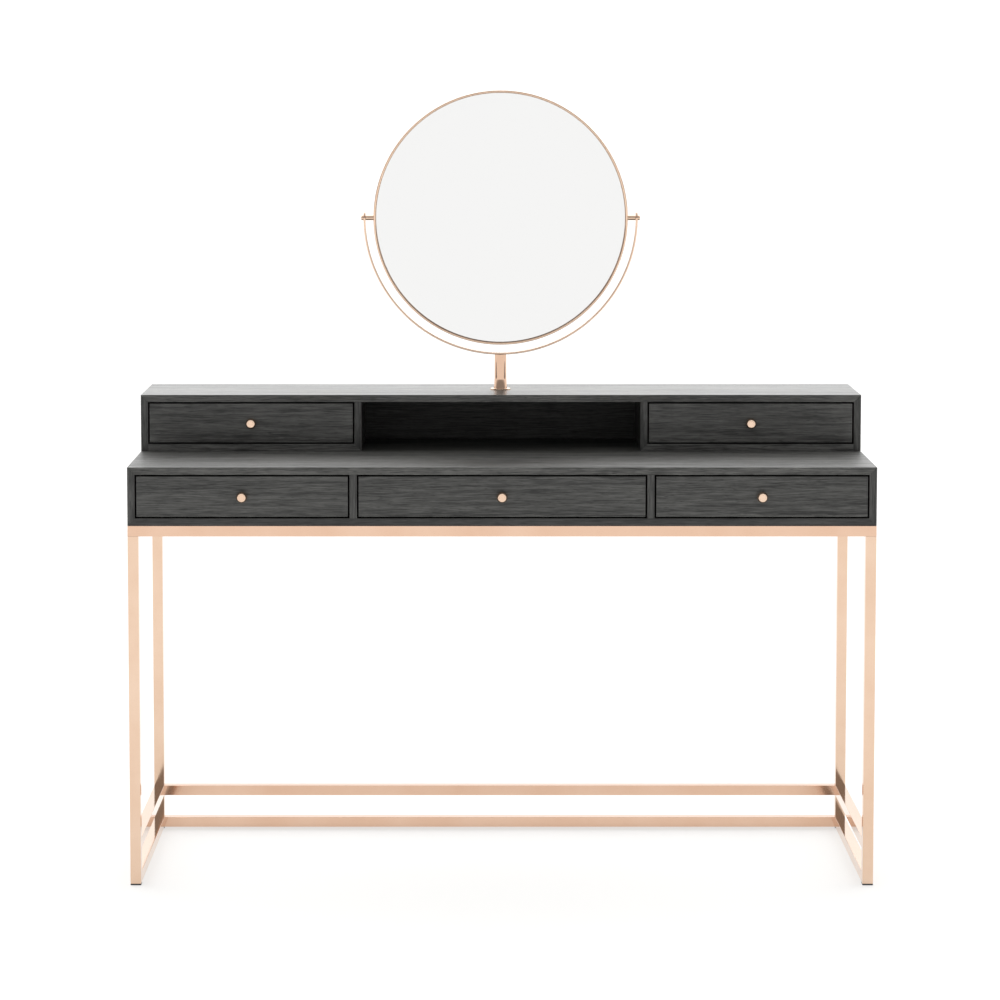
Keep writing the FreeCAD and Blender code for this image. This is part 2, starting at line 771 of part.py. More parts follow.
def mirror_post():
    """Flange, tapered stem and the bolt that comes up through the hutch."""
    bore = S.stem_bolt_radius + S.screw_clearance
    flange = turned("mirror_flange", [
        (bore, ZERO),
        (S.flange_radius, ZERO),
        (S.flange_radius, S.flange - S.flange_bevel),
        (S.flange_radius - S.flange_bevel, S.flange),
        (bore, S.flange),
    ])
    place(flange, (ZERO, MIRROR_Y, HUTCH_TOP))
    foot = HUTCH_TOP + S.flange
    reach = S.mirror_height - YOKE_INNER - foot
    thread = S.stem_bolt_radius + S.thread_clearance
    bite = S.stem_bolt_bite + S.bite_gap
    blank = turned("mirror_stem_blank", [
        (thread, ZERO),
        (S.stem_foot_radius, ZERO),
        (S.stem_top_radius, reach),
        (ZERO, reach),
        (ZERO, bite),
        (thread, bite),
    ])
    place(blank, (ZERO, MIRROR_Y, foot))
    scoop = rod("mirror_stem_scoop", YOKE_OUTER + S.weld_gap, 4 * S.stem_foot_radius,
                (ZERO, MIRROR_Y - 2 * S.stem_foot_radius, S.mirror_height), FACING_BACK)
    stem = cut("mirror_stem", blank, [scoop])
    head_level = HUTCH_TOP - S.board + S.screw_head_clearance
    shank = S.board - S.stem_bolt_head - S.screw_head_clearance + S.flange + S.stem_bolt_bite
    bolt = screw("mirror_stem_bolt", S.stem_bolt_radius, shank, S.stem_bolt_head_radius,
                 S.stem_bolt_head, (ZERO, MIRROR_Y, head_level))
    return [flange, stem, bolt]


def mirror_yoke():
    """Half ring of flat bar with round eyes for the two pivots."""
    body = turned("mirror_yoke", rectangle(YOKE_INNER, 0, YOKE_OUTER, S.ring_depth), 180.0)
    middle = S.ring_depth / 2
    for side, lift in (("right", YOKE_INNER), ("left", -YOKE_OUTER)):
        eye = new_sketch(body, "YZ_Plane", f"yoke_eye_{side}", lift)
        draw_circle(eye, 0, middle, middle)
        pad(body, eye, S.yoke_band)
    drill(body, "YZ_Plane", "yoke_pivot_holes", [(0, middle)],
          S.pivot_radius + S.pivot_clearance)
    return place(body, (ZERO, MIRROR_Y - middle, S.mirror_height), FACING_BACK)


def mirror_ring():
    """Round band with a rear lip that holds the glass and its backing."""
    inner = S.ring_radius - S.ring_band
    lip = inner - S.ring_lip
    shelf = S.ring_depth - S.ring_lip_depth
    body = turned("mirror_ring", [
        (inner, ZERO),
        (S.ring_radius, ZERO),
        (S.ring_radius, S.ring_depth),
        (lip, S.ring_depth),
        (lip, shelf),
        (inner, shelf),
    ])
    drill(body, "YZ_Plane", "ring_stud_holes", [(0, S.ring_depth / 2)],
          S.stud_radius + S.thread_clearance)
    return place(body, (ZERO, MIRROR_Y - S.ring_depth / 2, S.mirror_height), FACING_BACK)


def mirror_disc(name, thickness, front_offset):
    """A round plate inside the ring, measured from the ring's front edge."""
    radius = S.ring_radius - S.ring_band - S.glass_clearance
    start = MIRROR_Y - S.ring_depth / 2 + front_offset
    return rod(name, radius, thickness, (ZERO, start, S.mirror_height), FACING_BACK)


def mirror_discs():
    glass_front = S.ring_depth - S.ring_lip_depth - S.backing - S.glass
    return [
        mirror_disc("mirror_glass", S.glass, glass_front),
        mirror_disc("mirror_backing", S.backing, glass_front + S.glass),
    ]


def pivot_pins():
    """Pins screwed into the ring, with a collar that spaces it from the yoke."""
    collar = S.yoke_gap - S.side_play
    shank_end = collar + S.side_play + S.yoke_band + S.side_play
    thread_end = shank_end + S.cap_bore
    profile = [
        (ZERO, -S.ring_band),
        (S.stud_radius, -S.ring_band),
        (S.stud_radius, ZERO),
        (S.pin_radius, ZERO),
        (S.pin_radius, collar),
        (S.pivot_radius, collar),
        (S.pivot_radius, shank_end),
        (S.pivot_thread, shank_end),
        (S.pivot_thread, thread_end),
        (ZERO, thread_end),
    ]
    lifted = [(x, y + S.ring_band) for x, y in profile]
    start = S.ring_radius - S.ring_band
    right = place(turned("pivot_pin_right", lifted),
                  (start, MIRROR_Y, S.mirror_height), POINTING_RIGHT)
    left = place(turned("pivot_pin_left", lifted),
                 (-start, MIRROR_Y, S.mirror_height), POINTING_LEFT)
    return group("mirror_pivot_pins", [right, left])


def pivot_caps():
    """Round caps screwed on the outer ends of the pins."""
    bore = S.pivot_thread + S.thread_clearance
    bore_depth = S.cap_bore + S.bite_gap / 2
    dome = S.cap_length / 3
    profile = [
        (bore, ZERO),
        (S.cap_radius, ZERO),
        (S.cap_radius, S.cap_length - dome),
        (S.cap_radius - dome, S.cap_length),
        (ZERO, S.cap_length),
        (ZERO, bore_depth),
        (bore, bore_depth),
    ]
    start = YOKE_OUTER + S.side_play
    right = place(turned("pivot_cap_right", profile),
                  (start, MIRROR_Y, S.mirror_height), POINTING_RIGHT)
    left = place(turned("pivot_cap_left", profile),
                 (-start, MIRROR_Y, S.mirror_height), POINTING_LEFT)
    return group("mirror_pivot_caps", [right, left])


# ---------------------------------------------------------------- export

def check(obj):
    """Stop when an object did not compute or has a broken shape."""
    states = set(obj.State)
    if states & {"Invalid", "Error"}:
        raise RuntimeError(f"{obj.Name} did not compute: {sorted(states)}")
    shape = getattr(obj, "Shape", None)
    if shape is not None and (shape.isNull() or not shape.isValid()):
        raise RuntimeError(f"{obj.Name} has a broken shape")


def main():
    pieces = []
    pieces += legs()
    pieces += top_rails()
    pieces += lower_rails()
    pieces += [leg_glides(), frame_screws()]
    pieces += desk_case()
    pieces += hutch_case()
    pieces += [hutch_screws()]
    pieces += all_runners()
    pieces += drawers()
    pieces += mirror_post()
    pieces += [mirror_yoke(), mirror_ring()]
    pieces += mirror_discs()
    pieces += [pivot_pins(), pivot_caps()]
    DOC.recompute()
    for obj in DOC.Objects:
        if not obj.isDerivedFrom("App::OriginFeature"):
            check(obj)
    os.makedirs("parts", exist_ok=True)
    for piece in pieces:
        piece.Shape.exportStep(f"parts/{piece.Label}.step")
        print(piece.Label, len(piece.Shape.Solids), round(piece.Shape.Volume))


main()
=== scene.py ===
"""Looks of the vanity table: rose gold tube frame, dark veneered cases, round mirror.

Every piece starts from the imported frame.  Boards and tubes get softened edges, turned
metal pieces are rebuilt with fine profiles, and each finish is a procedural material.
All lengths are in metres.
"""

import json
import logging
import math
from dataclasses import dataclass, field
from enum import Enum
from typing import Callable, Iterable, Sequence, Union

import bmesh
import bpy
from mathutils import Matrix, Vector

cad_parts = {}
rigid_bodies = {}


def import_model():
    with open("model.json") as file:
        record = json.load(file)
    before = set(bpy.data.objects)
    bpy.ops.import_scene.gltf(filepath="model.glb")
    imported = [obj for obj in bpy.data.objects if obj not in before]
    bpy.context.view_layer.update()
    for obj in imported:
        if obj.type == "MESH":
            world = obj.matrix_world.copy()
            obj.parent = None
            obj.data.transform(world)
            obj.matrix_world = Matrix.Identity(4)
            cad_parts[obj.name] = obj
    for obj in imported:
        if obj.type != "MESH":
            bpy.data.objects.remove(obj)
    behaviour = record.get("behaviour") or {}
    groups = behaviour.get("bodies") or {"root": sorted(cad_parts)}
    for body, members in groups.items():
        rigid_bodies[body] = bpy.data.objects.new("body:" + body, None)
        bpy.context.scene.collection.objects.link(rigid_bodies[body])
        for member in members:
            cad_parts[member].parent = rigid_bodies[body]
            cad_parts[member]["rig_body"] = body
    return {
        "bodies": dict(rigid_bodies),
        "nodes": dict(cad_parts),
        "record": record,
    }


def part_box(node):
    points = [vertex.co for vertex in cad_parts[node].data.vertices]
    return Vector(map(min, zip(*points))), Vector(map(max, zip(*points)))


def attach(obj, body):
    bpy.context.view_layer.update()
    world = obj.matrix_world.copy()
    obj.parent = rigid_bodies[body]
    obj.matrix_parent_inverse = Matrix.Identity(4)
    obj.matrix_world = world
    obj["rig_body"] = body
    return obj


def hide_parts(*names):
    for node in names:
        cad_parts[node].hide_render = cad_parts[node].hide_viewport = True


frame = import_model()

LOG = logging.getLogger("vanity_table")
NODES: dict[str, bpy.types.Object] = frame["nodes"]

Profile = Sequence[tuple[float, float]]
Triple = tuple[float, float, float]

# Distances are in metres and angles in degrees.
EVEN: Triple = (1.0, 1.0, 1.0)
MERGE_DISTANCE = 1e-6
SAME_PLACE = 1e-4
FLAT_ANGLE = 0.6
SHARP_ANGLE = 40.0
SHORTEST_EDGE = 0.008
BOARD_CREASE = 50.0
TURNED_CREASE = 32.0
BAR_CREASE = 40.0


# ------------------------------------------------------------------ shader maths

class Value:
    """A shader socket, or a plain number, that can be used in expressions."""

    def __init__(self, graph: "Graph", source: Union[bpy.types.NodeSocket, float]) -> None:
        """Wrap a socket or a number.

        Args:
            graph: the node graph that the value belongs to.
            source: an output socket or a number.
        """
        self.graph = graph
        self.source = source

    def _maths(self, operation: str, first: "Number", second: "Number") -> "Value":
        """Return the result of one Math node.

        Args:
            operation: the Math node's operation.
            first: the first operand.
            second: the second operand.

        Returns:
            The node's output as a Value.
        """
        return self.graph.node("ShaderNodeMath", {"operation": operation},
                               {0: first, 1: second}, "Value")

    def __add__(self, other: "Number") -> "Value":
        """Sum."""
        return self._maths("ADD", self, other)

    __radd__ = __add__

    def __sub__(self, other: "Number") -> "Value":
        """Difference."""
        return self._maths("SUBTRACT", self, other)

    def __rsub__(self, other: "Number") -> "Value":
        """Difference with the value second, such as 1 - mask."""
        return self._maths("SUBTRACT", other, self)

    def __mul__(self, other: "Number") -> "Value":
        """Product."""
        return self._maths("MULTIPLY", self, other)

    __rmul__ = __mul__


Number = Union[Value, float, int]


class Graph:
    """The node graph of one material or of the sky."""

    def __init__(self, owner: Union[bpy.types.Material, bpy.types.World],
                 output: str) -> None:
        """Empty the owner's graph and give it an output node.

        Args:
            owner: the material or world that the graph belongs to.
            output: the type of its output node.
        """
        owner.use_nodes = True
        self.tree = owner.node_tree
        self.tree.nodes.clear()
        self.output = self.tree.nodes.new(output)

    def plug(self, socket: bpy.types.NodeSocket, value: object) -> None:
        """Link a Value to a socket, or set the socket's own number or colour.

        Args:
            socket: the input socket.
            value: a Value, a number, or a tuple.
        """
        if isinstance(value, Value):
            value = value.source
        if isinstance(value, bpy.types.NodeSocket):
            self.tree.links.new(value, socket)
        else:
            socket.default_value = value

    def node(self, kind: str, settings: dict[str, object], inputs: dict[object, object],
             output: object = 0) -> Value:
        """Add any node.

        Args:
            kind: the node's type.
            settings: node properties, set first; "stops" fills a colour ramp.
            inputs: values or links, by socket name or index.
            output: the socket to return, by name or index.

        Returns:
            The chosen output as a Value.
        """
        made = self.tree.nodes.new(kind)
        for key, setting in settings.items():
            if key == "stops":
                self._fill_ramp(made, setting)
            else:
                setattr(made, key, setting)
        for key, value in inputs.items():
            self.plug(made.inputs[key], value)
        return Value(self, made.outputs[output])

    @staticmethod
    def _fill_ramp(made: bpy.types.Node, stops: Sequence[tuple[float, tuple]]) -> None:
        """Set the stops of a colour ramp.

        Args:
            made: the ramp node.
            stops: positions with their colours.
        """
        elements = made.color_ramp.elements
        while len(elements) < len(stops):
            elements.new(0.5)
        for element, (position, colour) in zip(elements, stops):
            element.position = position
            element.color = (*colour, 1.0)

    def place(self, stretch: Triple = EVEN, offset: Triple = (0.0, 0.0, 0.0)) -> Value:
        """Return object coordinates, stretched and shifted.

        Args:
            stretch: factor along X, Y and Z.
            offset: shift in metres, before the stretch.

        Returns:
            The coordinates as a vector Value.
        """
        where = self.node("ShaderNodeTexCoord", {}, {}, "Object")
        shifted = self.node("ShaderNodeVectorMath", {"operation": "ADD"},
                            {0: where, 1: offset}, "Vector")
        return self.node("ShaderNodeVectorMath", {"operation": "MULTIPLY"},
                         {0: shifted, 1: stretch}, "Vector")

    def noise(self, where: Value, scale: float = 1.0, detail: float = 2.0,
              roughness: float = 0.5) -> Value:
        """Return smooth noise between 0 and 1."""
        return self.node("ShaderNodeTexNoise", {},
                         {"Vector": where, "Scale": scale, "Detail": detail,
                          "Roughness": roughness}, "Fac")

    def band(self, value: Value, low: float, high: float, start: float = 0.0,
             end: float = 1.0) -> Value:
        """Return the value mapped from low..high to start..end, clamped."""
        return self.node("ShaderNodeMapRange", {"clamp": True},
                         {"Value": value, "From Min": low, "From Max": high,
                          "To Min": start, "To Max": end}, "Result")

    def blend(self, factor: Number, first: object, second: object) -> Value:
        """Return a mix of two colours."""
        return self.node("ShaderNodeMix", {"data_type": "RGBA"},
                         {0: factor, 6: first, 7: second}, 2)

    def bump(self, height: Value, distance: float, strength: float = 1.0) -> Value:
        """Return a normal bent by a height map."""
        return self.node("ShaderNodeBump", {},
                         {"Height": height, "Distance": distance, "Strength": strength},
                         "Normal")

    def close(self, surface: Value) -> None:
        """Lead a shader to the output node."""
        self.plug(self.output.inputs["Surface"], surface)


class Surface(Graph):
    """The graph of one named material."""

    def __init__(self, name: str) -> None:
        """Start an empty material.

        Args:
            name: the material's name.
        """
        self.material = bpy.data.materials.new(name)
        super().__init__(self.material, "ShaderNodeOutputMaterial")

    def finish(self, **sockets: object) -> bpy.types.Material:
        """Add the surface shader and return the material.

        Args:
            **sockets: shader sockets by name, with underscores for spaces.

        Returns:
            The finished material.
        """
        inputs = {name.replace("_", " "): value for name, value in sockets.items()}
        self.close(self.node("ShaderNodeBsdfPrincipled", {}, inputs, "BSDF"))
        return self.material


# ---------------------------------------------------------------------- finishes

class Along(Enum):
    """The direction in which grain or polishing lines run."""

    X = (1.0, 0.0, 0.0)
    Y = (0.0, 1.0, 0.0)
    Z = (0.0, 0.0, 1.0)

    def stretch(self, lengthwise: float, across: float) -> Triple:
        """Return texture factors for a pattern drawn out along this direction."""
        return tuple(lengthwise if part else across for part in self.value)


@dataclass(frozen=True)
class RoseGold:
    """Polished rose gold plating with faint polishing lines."""

    name: str = "rose_gold"
    along: Along = Along.X
    colour: Triple = (0.790, 0.588, 0.452)
    deep: Triple = (0.745, 0.530, 0.392)
    polish: float = 0.055
    haze: float = 0.03
    clouds_per_metre: float = 9.0
    lines_per_metre: tuple[float, float] = (18.0, 900.0)
    relief: float = 0.00002

    def make(self) -> bpy.types.Material:
        """Build the material."""
        graph = Surface(self.name)
        cloud = graph.noise(graph.place(), self.clouds_per_metre, 3.0)
        lines = graph.noise(graph.place(self.along.stretch(*self.lines_per_metre)))
        wear = graph.band(cloud, 0.35, 0.7)
        colour = graph.blend(wear, (*self.colour, 1.0), (*self.deep, 1.0))
        roughness = self.polish + self.haze * wear + self.haze * lines
        height = 0.7 * lines + 0.3 * cloud
        return graph.finish(Base_Color=colour, Metallic=1.0, Roughness=roughness,
                            Normal=graph.bump(height, self.relief, 0.5))


@dataclass(frozen=True)
class Veneer:
    """Black stained oak veneer under a satin lacquer."""

    name: str = "veneer"
    along: Along = Along.X
    seed: float = 0.0
    dark: Triple = (0.0120, 0.0120, 0.0112)
    light: Triple = (0.0860, 0.0860, 0.0815)
    pore: Triple = (0.0055, 0.0055, 0.0052)
    # Brightness factor of this copy of the veneer: lighter and darker copies paint light and
    # shade onto the boards.
    painted_light_tone: float = 1.0
    sheen: float = 0.5
    gloss: float = 0.33
    bands_per_metre: float = 150.0
    bands_lengthwise: float = 4.0
    waves_per_metre: tuple[float, float] = (2.2, 9.0)
    wave_depth: float = 0.003
    fibres_per_metre: tuple[float, float] = (26.0, 620.0)
    pores_per_metre: tuple[float, float] = (60.0, 1000.0)
    contrast: float = 0.125
    relief: float = 0.00007

    def make(self) -> bpy.types.Material:
        """Build the material."""
        graph = Surface(self.name)
        offset = (self.seed * 1.7, self.seed * 0.9, self.seed * 1.3)
        warp = graph.noise(graph.place(self.along.stretch(*self.waves_per_metre), offset))
        sideways = tuple(0.0 if part else self.wave_depth for part in self.along.value)
        bent = graph.node("ShaderNodeVectorMath", {"operation": "MULTIPLY_ADD"},
                          {0: warp, 1: sideways, 2: graph.place(offset=offset)}, "Vector")

        def drawn(lengthwise: float, across: float) -> Value:
            """Return the warped coordinates drawn out along the grain."""
            return graph.node("ShaderNodeVectorMath", {"operation": "MULTIPLY"},
                              {0: bent, 1: self.along.stretch(lengthwise, across)}, "Vector")

        bands = graph.noise(drawn(self.bands_lengthwise, self.bands_per_metre), 1.0, 3.0, 0.6)
        fibres = graph.noise(drawn(*self.fibres_per_metre), 1.0, 2.0, 0.65)
        pores = graph.band(graph.noise(drawn(*self.pores_per_metre), 1.0, 1.0), 0.60, 0.72)
        figure = graph.band(0.42 * bands + 0.58 * fibres,
                            0.5 - self.contrast, 0.5 + self.contrast)
        # Painted light and shade: the grain colours are scaled by this copy's brightness
        # factor.
        dark, light, pore = (tuple(self.painted_light_tone * part for part in shade)
                             for shade in (self.dark, self.light, self.pore))
        grain = graph.blend(figure, (*dark, 1.0), (*light, 1.0))
        colour = graph.blend(0.75 * pores, grain, (*pore, 1.0))
        roughness = self.gloss + 0.08 * (1.0 - figure) + 0.10 * pores
        height = 0.45 * figure + 0.25 * fibres - 0.8 * pores
        return graph.finish(Base_Color=colour, Roughness=roughness,
                            Normal=graph.bump(height, self.relief, 0.55),
                            Specular_IOR_Level=self.sheen)


@dataclass(frozen=True)
class DrawerPly:
    """Dark stained plywood inside the drawers, with a matt seal."""

    name: str = "drawer_ply"
    along: Along = Along.Y
    dark: Triple = (0.030, 0.026, 0.024)
    light: Triple = (0.085, 0.074, 0.066)
    waves_per_metre: tuple[float, float] = (3.0, 48.0)
    fibres_per_metre: tuple[float, float] = (14.0, 520.0)
    contrast: float = 0.15
    relief: float = 0.00008

    def make(self) -> bpy.types.Material:
        """Build the material."""
        graph = Surface(self.name)
        waves = graph.noise(graph.place(self.along.stretch(*self.waves_per_metre)),
                            1.0, 4.0, 0.6)
        fibres = graph.noise(graph.place(self.along.stretch(*self.fibres_per_metre)))
        figure = graph.band(0.6 * waves + 0.4 * fibres,
                            0.5 - self.contrast, 0.5 + self.contrast)
        colour = graph.blend(figure, (*self.dark, 1.0), (*self.light, 1.0))
        return graph.finish(Base_Color=colour, Roughness=0.52 + 0.12 * fibres,
                            Normal=graph.bump(fibres, self.relief, 0.5))


@dataclass(frozen=True)
class MirrorSilver:
    """Silvered float glass with a hardly visible smear."""

    name: str = "mirror_silver"
    colour: Triple = (0.800, 0.803, 0.807)
    polish: float = 0.004
    smear: float = 0.008
    smears_per_metre: float = 5.0

    def make(self) -> bpy.types.Material:
        """Build the material."""
        graph = Surface(self.name)
        cloud = graph.noise(graph.place(), self.smears_per_metre, 3.0)
        roughness = self.polish + self.smear * graph.band(cloud, 0.45, 0.8)
        return graph.finish(Base_Color=(*self.colour, 1.0), Metallic=1.0,
                            Roughness=roughness)


@dataclass(frozen=True)
class Steel:
    """Zinc plated steel of screws and bolts."""

    name: str = "zinc_steel"
    dark: Triple = (0.50, 0.50, 0.51)
    light: Triple = (0.66, 0.66, 0.67)
    spangles_per_metre: float = 700.0

    def make(self) -> bpy.types.Material:
        """Build the material."""
        graph = Surface(self.name)
        spangle = graph.noise(graph.place(), self.spangles_per_metre, 3.0)
        colour = graph.blend(spangle, (*self.dark, 1.0), (*self.light, 1.0))
        return graph.finish(Base_Color=colour, Metallic=1.0, Roughness=0.26 + 0.16 * spangle)


@dataclass(frozen=True)
class Moulded:
    """Black moulded plastic or painted board with a fine grain."""

    name: str = "black_plastic"
    colour: Triple = (0.020, 0.020, 0.021)
    grains_per_metre: float = 1400.0
    clouds_per_metre: float = 14.0
    fading: float = 1.7
    relief: float = 0.00005

    def make(self) -> bpy.types.Material:
        """Build the material."""
        graph = Surface(self.name)
        grain = graph.noise(graph.place(), self.grains_per_metre)
        cloud = graph.noise(graph.place(), self.clouds_per_metre, 3.0)
        faded = tuple(part * self.fading for part in self.colour)
        colour = graph.blend(cloud, (*self.colour, 1.0), (*faded, 1.0))
        return graph.finish(Base_Color=colour, Roughness=0.48 + 0.14 * cloud,
                            Normal=graph.bump(grain, self.relief, 0.5))


@dataclass(frozen=True)
class PaleFloor:
    """Plain pale studio floor with a faint even glow."""

    name: str = "pale_floor"
    colour: Triple = (0.34, 0.338, 0.333)
    light: Triple = (1.0, 0.995, 0.985)
    glow: float = 0.62

    def make(self) -> bpy.types.Material:
        """Build the material."""
        return Surface(self.name).finish(Base_Color=(*self.colour, 1.0), Roughness=0.9,
                                         Specular_IOR_Level=0.1,
                                         Emission_Color=(*self.light, 1.0),
                                         Emission_Strength=self.glow)


class Finishes:
    """Every finish of the table, built once."""

    def __init__(self) -> None:
        """Build the materials."""
        self.metal = {along: RoseGold(f"rose_gold_{along.name.lower()}", along).make()
                      for along in (Along.Y, Along.Z)}
        # Painted shade: the rails along X get a darker copy of the rose gold, standing in for
        # the shade and darker reflections on them.
        self.metal[Along.X] = RoseGold("rose_gold_x", Along.X, colour=(0.754, 0.522, 0.390),
                                       deep=(0.710, 0.470, 0.338)).make()
        self.turned = RoseGold("rose_gold_turned", Along.Z, polish=0.06).make()
        # Painted reflection: the stem gets a darker copy of the rose gold, standing in for the
        # dark case reflected in it.
        self.stem = RoseGold("rose_gold_stem", Along.Z, colour=(0.690, 0.470, 0.345),
                             deep=(0.650, 0.430, 0.305), polish=0.03).make()
        # Painted light and shade: each board group gets a lighter or darker copy of the same
        # veneer. The tops and the hutch bottoms are lightened as painted light, the desk base
        # is darkened as painted shade along the bottom of the case, the backs are darkened as
        # painted shade in the niche, and the fronts and uprights get their own brightness.
        self.level = Veneer("veneer_level", Along.X, seed=5.3, painted_light_tone=1.85).make()
        self.upright = Veneer("veneer_upright", Along.Z, seed=2.2, painted_light_tone=0.98).make()
        self.fronts = {
            "desk": Veneer("veneer_desk_fronts", Along.X, seed=3.1, painted_light_tone=1.17).make(),
            "hutch": Veneer("veneer_hutch_fronts", Along.X, seed=4.4, painted_light_tone=1.45).make(),
        }
        self.desk_top = Veneer("veneer_desk_top", Along.X, seed=6.4, painted_light_tone=1.65,
                               gloss=0.42, bands_per_metre=42.0).make()
        self.hutch_top = Veneer("veneer_hutch_top", Along.X, seed=7.7, painted_light_tone=1.5,
                                gloss=0.285, bands_per_metre=42.0).make()
        self.base = Veneer("veneer_base", Along.X, seed=9.2, painted_light_tone=0.62).make()
        self.backs = Veneer("veneer_backs", Along.X, seed=1.8, painted_light_tone=0.80, sheen=0.4,
                            gloss=0.50).make()
        self.ply = DrawerPly().make()
        self.silver = MirrorSilver().make()
        self.steel = Steel().make()
        self.plastic = Moulded().make()
        self.backing = Moulded("backing_board", (0.016, 0.016, 0.017), 900.0).make()


# ------------------------------------------------------------------ mesh helpers

def link(name: str, mesh: bpy.types.Mesh, material: bpy.types.Material) -> bpy.types.Object:
    """Put a mesh into the scene with one material.

    Args:
        name: the new object's name.
        mesh: its mesh.
        material: its finish.

    Returns:
        The new object.
    """
    mesh.materials.clear()
    mesh.materials.append(material)
    made = bpy.data.objects.new(name, mesh)
    bpy.context.scene.collection.objects.link(made)
    return made


def smooth(mesh: bpy.types.Mesh, crease: float) -> None:
    """Shade smooth, with hard edges above the given angle in degrees."""
    mesh.polygons.foreach_set("use_smooth", [True] * len(mesh.polygons))
    mesh.set_sharp_from_angle(angle=math.radians(crease))


def weigh(made: bpy.types.Object) -> None:
    """Keep large flat faces flat next to their rounded edges.

    Args:
        made: the object that gets the modifier.
    """
    weighted = made.modifiers.new("weighted", "WEIGHTED_NORMAL")
    weighted.keep_sharp = True
    weighted.weight = 100


def cleaned(node: str) -> bmesh.types.BMesh:
    """Return a node's mesh with its flat faces joined.

    Args:
        node: the CAD node's name.

    Returns:
        A mesh with one face for each flat area where that is possible.
    """
    work = bmesh.new()
    work.from_mesh(NODES[node].data)
    bmesh.ops.remove_doubles(work, verts=work.verts, dist=MERGE_DISTANCE)
    bmesh.ops.dissolve_limit(work, angle_limit=math.radians(FLAT_ANGLE), verts=work.verts,
                             edges=work.edges, delimit=set())
    return work


def sharp_edges(work: bmesh.types.BMesh, shortest: float) -> list[bmesh.types.BMEdge]:
    """Return the outward edges to soften.

    Args:
        work: the mesh.
        shortest: edges shorter than this stay as they are.

    Returns:
        The chosen edges.
    """
    limit = math.radians(SHARP_ANGLE)
    return [edge for edge in work.edges
            if len(edge.link_faces) == 2 and edge.is_convex
            and edge.calc_length() > shortest
            and edge.calc_face_angle(0.0) > limit]


def softened(node: str, material: bpy.types.Material, radius: float, segments: int,
             shortest: float = SHORTEST_EDGE,
             choose: Callable[[bmesh.types.BMEdge], bool] = lambda edge: True,
             ) -> bpy.types.Object:
    """Return a copy of a node with rounded edges, which then stands for the node.

    Args:
        node: the CAD node's name.
        material: its finish.
        radius: how far the rounding reaches from each edge.
        segments: steps of the rounding.
        shortest: edges shorter than this stay sharp.
        choose: says which of the sharp edges are rounded.

    Returns:
        The new object, riding on the node's own body.
    """
    work = cleaned(node)
    edges = [edge for edge in sharp_edges(work, shortest) if choose(edge)]
    bmesh.ops.bevel(work, geom=edges, offset=radius, segments=segments, profile=0.5,
                    affect="EDGES", clamp_overlap=True)
    mesh = bpy.data.meshes.new(f"{node}_shape")
    work.to_mesh(mesh)
    work.free()
    smooth(mesh, BOARD_CREASE)
    made = link(f"{node}_soft", mesh, material)
    weigh(made)
    return adopt(made, node)


def adopt(made: bpy.types.Object, *nodes: str) -> bpy.types.Object:
    """Let an object stand for CAD nodes and move with their body.

    Args:
        made: the detailed object.
        *nodes: the CAD nodes that it stands for.

    Returns:
        The same object.
    """
    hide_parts(*nodes)
    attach(made, NODES[nodes[0]]["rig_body"])
    part = next(item for item in frame["record"]["subparts"] if item["node"] == nodes[0])
    LOG.info("%s stands for %s", made.name, ", ".join(nodes))
    return made


def dress(nodes: Iterable[str], material: bpy.types.Material) -> None:
    """Give CAD nodes that stay as they are their finish.

    Args:
        nodes: the node names.
        material: the finish.
    """
    for node in nodes:
        mesh = NODES[node].data
        mesh.materials.clear()
        mesh.materials.append(material)
        LOG.info("%s dressed in %s", node, material.name)


def arc(centre: tuple[float, float], radius: float, start: float, end: float,
        steps: int) -> list[tuple[float, float]]:
    """Return points on an arc of a profile.

    Args:
        centre: the arc's centre, as radius and height.
        radius: the arc's radius.
        start: first angle in degrees, 0 pointing outwards and 90 up.
        end: last angle in degrees.
        steps: how many pieces the arc has.

    Returns:
        The points in order.
    """
    points = []
    for step in range(steps + 1):
        angle = math.radians(start + (end - start) * step / steps)
        points.append((centre[0] + radius * math.cos(angle),
                       centre[1] + radius * math.sin(angle)))
    return points


def lathe(name: str, profile: Profile, turns: int,
          to_frame: Callable[[float, float, float], Vector], closed: bool = False,
          ) -> bpy.types.Mesh:
    """Turn a profile round an axis.

    Args:
        name: the mesh's name.
        profile: points as radius and height; a radius of 0 closes the shape.
        turns: how many steps go round.
        to_frame: takes the cosine part, the sine part and the height to the table's frame.
        closed: joins the last profile point to the first, for a ring.

    Returns:
        The mesh.
    """
    work = bmesh.new()
    rows = []
    for radius, height in profile:
        if radius == 0.0:
            rows.append([work.verts.new(to_frame(0.0, 0.0, height))] * turns)
            continue
        row = []
        for step in range(turns):
            angle = 2.0 * math.pi * step / turns
            row.append(work.verts.new(to_frame(radius * math.cos(angle),
                                               radius * math.sin(angle), height)))
        rows.append(row)
    for low, high in zip(rows, rows[1:] + rows[:1] if closed else rows[1:]):
        for step in range(turns):
            after = (step + 1) % turns
            corners = [low[step], low[after], high[after], high[step]]
            unique = [corner for order, corner in enumerate(corners)
                      if corner not in corners[:order]]
            if len(unique) > 2:
                work.faces.new(unique)
    bmesh.ops.recalc_face_normals(work, faces=work.faces)
    mesh = bpy.data.meshes.new(name)
    work.to_mesh(mesh)
    work.free()
    smooth(mesh, TURNED_CREASE)
    return mesh


# ----------------------------------------------------------------- sub-assemblies

